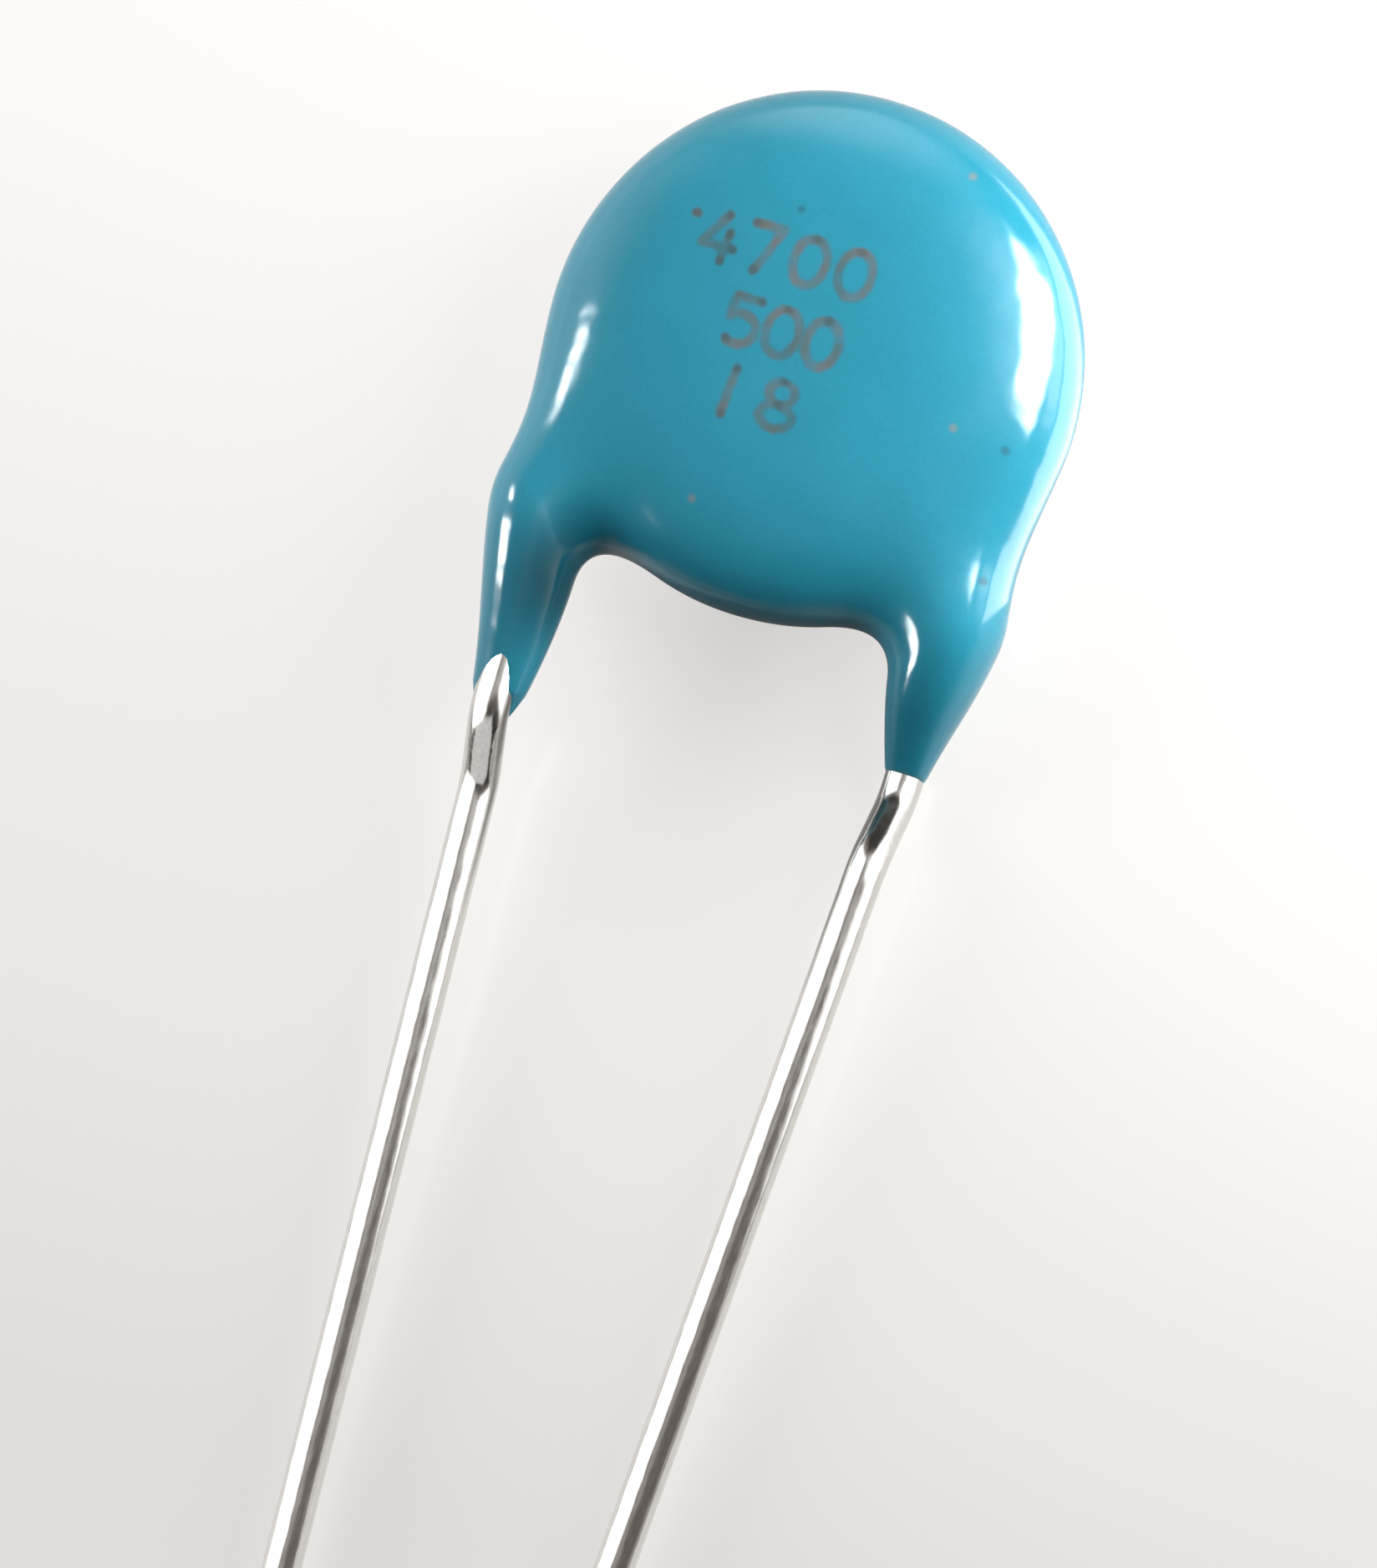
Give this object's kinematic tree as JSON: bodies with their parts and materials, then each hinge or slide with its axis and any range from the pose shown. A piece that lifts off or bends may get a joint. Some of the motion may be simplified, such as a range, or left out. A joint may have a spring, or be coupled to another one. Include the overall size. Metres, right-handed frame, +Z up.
{
  "type": "ceramic disc capacitor",
  "caption": "Radial-lead ceramic disc capacitor: blue epoxy-dipped disc with a coated leg down each tinned wire, lying on its back.",
  "frame": {"origin": "on the table under the middle of the part's box, at rest on its back", "axes": "+Y along the part from the lead tips to the top of the disc, +Z up out of the marked face, +X to the right of the marking"},
  "size_m": [0.0082, 0.0316, 0.0027],
  "materials": {
    "epoxy_coat": "dipped blue epoxy, glossy and slightly uneven",
    "dielectric": "sintered barium titanate, matte",
    "fired_silver": "fired silver paste, satin",
    "solder": "solder, dull grey",
    "tinned_wire": "bright tin plate over copper wire"
  },
  "bodies": {
    "root": {"coating": "epoxy_coat", "ceramic_disc": "dielectric", "front_electrode": "fired_silver", "back_electrode": "fired_silver", "front_solder_joint": "solder", "back_solder_joint": "solder", "front_lead": "tinned_wire", "back_lead": "tinned_wire"}
  },
  "joints": []
}
